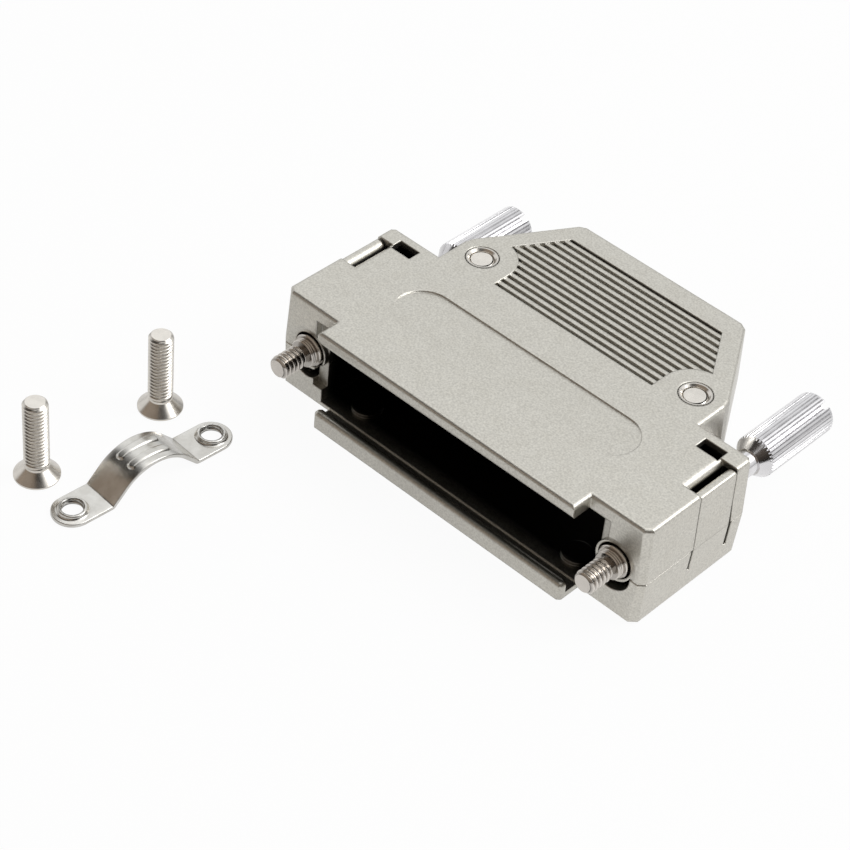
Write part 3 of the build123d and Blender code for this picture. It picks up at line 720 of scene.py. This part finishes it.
def countersunk_screw(node, material, chamfer):
    """M3 countersunk screw with a rolled thread and a cross recess, standing on its head."""
    low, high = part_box(node)
    middle = (low + high) / 2
    length = high.z - low.z
    neck = HEAD_RIM + HEAD_RADIUS - M3_RADIUS
    start = neck + NECK_LENGTH
    stations = [
        (0.0, HEAD_RADIUS - HEAD_EDGE[1]),
        (HEAD_EDGE[0], HEAD_RADIUS),
        (HEAD_RIM, HEAD_RADIUS),
        (neck, NECK_RADIUS),
        (start, NECK_RADIUS),
        (length, M3_RADIUS - chamfer),
    ]

    def thread(height, angle):
        turn = height / M3_PITCH - angle / TURN
        fade = min(1.0, (height - start) / THREAD_RUNOUT)
        depth = THREAD_DEPTH * M3_PITCH * (1.0 - thread_height(turn)) * fade
        lead = M3_RADIUS - chamfer + M3_LEAD_SLOPE * (length - height)
        return min(M3_RADIUS - depth, lead)

    # Painted shade in the roots of the thread
    def share(place):
        if not low.z + start < place.z < high.z - ON_EDGE:
            return 1.0
        radius = math.hypot(place.x - middle.x, place.y - middle.y)
        return root_share(radius, M3_ROOT, M3_CREST, ROLLED_SHADE)

    spiral = (len(stations) - 2, length, M3_PITCH, thread)
    piece = lathe(f"threaded_{node}", stations, ROUND_SEGMENTS, None, spiral)
    arms = []
    for arm in ((RECESS_LENGTH, RECESS_WIDTH), (RECESS_WIDTH, RECESS_LENGTH)):
        arms.append(((*arm, 2 * RECESS_DEPTH), Matrix.Identity(4)))
    cut(piece, arms)
    piece.data.transform(Matrix.Translation((middle.x, middle.y, low.z)))
    soft = (2, low.z + start, high.z)
    finish_piece(piece, node, "housing", material, share, soft)


def insert(node, material):
    """Press-in threaded insert with a knurled rim."""
    low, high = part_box(node)
    middle = (low + high) / 2
    outer = (high.x - low.x) / 2
    bore = M3_RADIUS + INSERT_PLAY
    profile = [
        (low.z, bore),
        (low.z, outer),
        (high.z - INSERT_EDGE, outer),
        (high.z, outer - INSERT_EDGE),
        (high.z, bore + INSERT_BORE_CHAMFER),
        (high.z - INSERT_BORE_CHAMFER, bore),
    ]

    def offset(height, radius, angle):
        toothed = radius > bore + 2 * INSERT_BORE_CHAMFER
        return INSERT_TOOTH * (0.5 - 0.5 * math.cos(INSERT_TEETH * angle)) if toothed else 0.0

    # Painted shade between the rim's teeth
    def share(place):
        radius = math.hypot(place.x - middle.x, place.y - middle.y)
        if radius < outer - ROOT_REACH * INSERT_TOOTH:
            return 1.0
        return root_share(radius, outer - INSERT_TOOTH, outer, ROOT_SHADE)

    piece = ring(f"knurled_{node}", profile, INSERT_TOOTH_SEGMENTS * INSERT_TEETH, offset)
    piece.data.transform(Matrix.Translation((middle.x, middle.y, 0)))
    finish_piece(piece, node, "housing", material, share)


def clamp_bend(along, rise):
    """Where a point of the flat strip goes once it is bent: along from the crown, rise from its
    middle surface."""
    left = abs(along)
    turn = min(left / ARCH, BEND)
    left -= ARCH * turn
    straight = min(left, CLAMP_FLANK)
    left -= straight
    back = min(left / FOOT, BEND)
    left -= FOOT * back
    x = ARCH * math.sin(turn) + BEND_SLOPE * straight + left
    x += FOOT * (math.sin(BEND) - math.sin(BEND - back))
    z = CLAMP_CROWN - CLAMP_ARCH_RADIUS + ARCH * math.cos(turn) - BEND_SLOPE * straight
    z -= FOOT * (math.cos(BEND - back) - BEND_SLOPE)
    lean = turn - back
    return math.copysign(x + rise * math.sin(lean), along), z + rise * math.cos(lean)


def rib_lift(along, across):
    """Height of the two embossed ribs over the flat strip."""
    beyond = max(abs(along) - (RIB_HALF_LENGTH - RIB_RADIUS), 0.0)
    off = min(abs(across - place) for place in RIB_PLACES)
    reach = math.hypot(beyond, off) / RIB_RADIUS
    return RIB_HEIGHT * math.sin(limited((1.0 - reach) / RIB_FLANK) * math.pi / 2)


def flat_strip():
    """The clamp's strip before it is bent, with its long edges and ends rounded."""
    half = CLAMP_WIDTH / 2
    eyelet = CLAMP_BENT + CLAMP_SPACING / 2 - (CLAMP_ARCH_HALF + CLAMP_FOOT_END)
    bm = bmesh.new()
    outline = []
    for end in (1, -1):
        for step in range(CLAMP_END_STEPS + 1):
            turn = math.pi * (step / CLAMP_END_STEPS - 0.5)
            x, y = eyelet + half * math.cos(turn), half * math.sin(turn)
            outline.append(bm.verts.new((end * x, end * y, -CLAMP_SHEET / 2)))
    base = bm.faces.new(outline)
    raised = bmesh.ops.extrude_face_region(bm, geom=[base])["geom"]
    lifted = [item for item in raised if isinstance(item, bmesh.types.BMVert)]
    bmesh.ops.translate(bm, vec=(0, 0, CLAMP_SHEET), verts=lifted)
    rims = [edge for edge in bm.edges if edge.verts[0].co.z * edge.verts[1].co.z > 0]
    bmesh.ops.bevel(
        bm,
        geom=rims,
        offset=CLAMP_EDGE,
        segments=CLAMP_EDGE_STEPS,
        profile=0.5,
        affect="EDGES",
        clamp_overlap=True,
    )
    return bm


def strip_cuts():
    """Places and normals of the planes that divide the strip for its bends and its ribs."""
    cuts = []
    stations = int(2 * CLAMP_BENT / CLAMP_STATION) + 1
    for step in range(stations + 1):
        cuts.append(((CLAMP_BENT * (2 * step / stations - 1), 0, 0), (1, 0, 0)))
    steps = range(-RIB_STEPS, RIB_STEPS + 1)
    for place in RIB_PLACES:
        for step in steps:
            share = math.sin(math.pi / 2 * step / RIB_STEPS)
            cuts.append(((0, place + RIB_RADIUS * share, 0), (0, 1, 0)))
    for step in steps:
        reach = RIB_RADIUS * math.sin(math.pi / 2 * abs(step) / RIB_STEPS)
        place = RIB_HALF_LENGTH - RIB_RADIUS + reach
        cuts.append(((math.copysign(place, step), 0, 0), (1, 0, 0)))
    return cuts


def eyelet_tools():
    """Hole and drawn, threaded rim of the clamp's two eyelets, for combine."""
    profile = [(height * MM, radius * MM) for height, radius in EYELET_PROFILE]
    top = profile[-1][0]
    rows = int((top - profile[0][0]) / (M3_PITCH / EYELET_ROWS))
    profile += [(top * (1 - step / rows), EYELET_BORE) for step in range(1, rows)]

    def offset(height, radius, angle):
        if radius > EYELET_BORE:
            return 0.0
        turn = height / M3_PITCH - angle / TURN
        return -EYELET_THREAD * (1.0 - thread_height(turn))

    tools = []
    for end in (-1, 1):
        walls = [(-CLAMP_SHEET, EYELET_HOLE), (2 * CLAMP_SHEET, EYELET_HOLE)]
        hole = lathe("hole", walls, ROUND_SEGMENTS)
        rim = ring("eyelet", profile, ROUND_SEGMENTS, offset)
        for tool in (hole, rim):
            tool.data.transform(Matrix.Translation((end * CLAMP_SPACING / 2, 0, 0)))
            smooth(tool)
        tools += [(hole, "DIFFERENCE"), (rim, "UNION")]
    return tools


def clamp(node, material):
    """Pressed strip bent to an arch, with two embossed ribs and a drawn, threaded eyelet in
    each end."""
    bm = flat_strip()
    for place, normal in strip_cuts():
        geom = [*bm.verts, *bm.edges, *bm.faces]
        bmesh.ops.bisect_plane(bm, geom=geom, dist=MERGE_DISTANCE, plane_co=place, plane_no=normal)
    for vert in bm.verts:
        x, y, z = vert.co
        bent_x, bent_z = clamp_bend(x, z + rib_lift(x, y))
        vert.co = (bent_x, y, bent_z)
    piece = new_piece("pressed_cable_clamp", [], [])
    bmesh.ops.recalc_face_normals(bm, faces=bm.faces)
    bm.to_mesh(piece.data)
    bm.free()
    combine(piece, eyelet_tools())
    low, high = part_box(node)
    middle = (low + high) / 2
    stand = Matrix.Translation((middle.x, middle.y, 0)) @ Matrix.Rotation(CLAMP_ANGLE, 4, "Z")
    piece.data.transform(stand)
    centres = [stand @ Vector((end * CLAMP_SPACING / 2, 0, 0)) for end in (-1, 1)]

    # Painted shade in the roots of the eyelets' threads
    def share(place):
        radius = min((place.xy - centre.xy).length for centre in centres)
        if radius > EYELET_BORE + ROOT_REACH * EYELET_THREAD:
            return 1.0
        return root_share(EYELET_BORE + EYELET_THREAD - radius, 0.0, EYELET_THREAD, ROOT_SHADE)

    finish_piece(piece, node, "housing", material, share)


def dress_node(node, material):
    """Gives a CAD node its material; its mesh stays as it is."""
    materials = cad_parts[node].data.materials
    materials.clear()
    materials.append(material)


def camera():
    """Camera at the photograph's viewing angle."""
    azimuth = math.radians(CAMERA_AZIMUTH)
    elevation = math.radians(CAMERA_ELEVATION)
    reach = math.cos(elevation)
    back = Vector((math.sin(azimuth) * reach, -math.cos(azimuth) * reach, math.sin(elevation)))
    level = Vector((math.cos(azimuth), math.sin(azimuth), 0))
    upright = back.cross(level)
    roll = math.radians(CAMERA_ROLL)
    right = math.cos(roll) * level + math.sin(roll) * upright
    up = back.cross(right)
    data = bpy.data.cameras.new("camera")
    data.lens = CAMERA_LENS
    data.sensor_width = SENSOR_WIDTH
    data.clip_start = CAMERA_CLIP
    eye = bpy.data.objects.new("camera", data)
    bpy.context.scene.collection.objects.link(eye)
    turn = Matrix((right, up, back)).transposed().to_4x4()
    eye.matrix_world = Matrix.Translation(CAMERA_TARGET + CAMERA_DISTANCE * back) @ turn
    bpy.context.scene.camera = eye


def area_light(name, place, size, power):
    data = bpy.data.lights.new(name, "AREA")
    data.shape = "SQUARE"
    data.size = size
    data.energy = power
    lamp = bpy.data.objects.new(name, data)
    bpy.context.scene.collection.objects.link(lamp)
    aim = (Vector(LAMP_TARGET) - Vector(place)).to_track_quat("-Z", "Y")
    lamp.matrix_world = Matrix.Translation(place) @ aim.to_matrix().to_4x4()


def surroundings():
    """A softbox all round the rear, two windows and a dim room in front."""
    studio = bpy.data.worlds.new("studio")
    bpy.context.scene.world = studio
    studio.use_nodes = True
    nodes = Nodes(studio)
    toward = nodes.add("ShaderNodeTexCoord").outputs["Generated"]
    axes = nodes.axes(toward)
    height = nodes.span(axes["Z"], SKY_HEIGHT, SKY_STRENGTH, "SMOOTHSTEP")
    side = nodes.span(axes["X"], SKY_SIDE, SKY_SIDE_STRENGTH, "SMOOTHSTEP")
    strength = nodes.calc("MULTIPLY", height, side)
    stops = [((place + 1) / 2, colour) for place, colour in SURROUNDINGS]
    colour = nodes.ramp(nodes.span(axes["Y"], (-1.0, 1.0)), stops)
    glow = 0.0
    for direction, reach, power in WINDOWS:
        dot = nodes.dot(toward, Vector(direction).normalized())
        glow = nodes.calc("ADD", nodes.span(dot, reach, (0.0, power), "SMOOTHSTEP"), glow)
    lit = nodes.mix(BLACK, colour, strength)
    background = nodes.tree.nodes["Background"]
    nodes.set(background, "Color", nodes.mix(lit, WHITE, glow))


def stage():
    """The floor, which isn't part of the object, and the lamps."""
    half = FLOOR_HALF
    corners = [(-half, -half, 0), (half, -half, 0), (half, half, 0), (-half, half, 0)]
    floor = new_piece("floor", corners, [(0, 1, 2, 3)])
    floor.location.z = -FLOOR_DROP
    floor.data.materials.append(floor_white())
    for name, place, size, power in LAMPS:
        area_light(name, place, size, power)


cast = cast_nickel()
knob_metal = turned_nickel("turned_nickel", *KNOB_METAL)
screw_metal = turned_nickel("rolled_nickel", *ROLLED_METAL)
sheet_metal = pressed_nickel()

for node in ("upper_shell", "lower_shell"):
    dress_node(node, cast)
clamp("cable_clamp", sheet_metal)
for side in ("left", "right"):
    thumbscrew(side, knob_metal)
    countersunk_screw(f"closing_screw_{side}", screw_metal, CLOSING_SCREW_CHAMFER)
    insert(f"insert_{side}", screw_metal)
for end in ("front", "rear"):
    countersunk_screw(f"clamp_screw_{end}", screw_metal, CLAMP_SCREW_CHAMFER)

camera()
surroundings()
stage()

bpy.context.scene.view_settings.view_transform = "Standard"
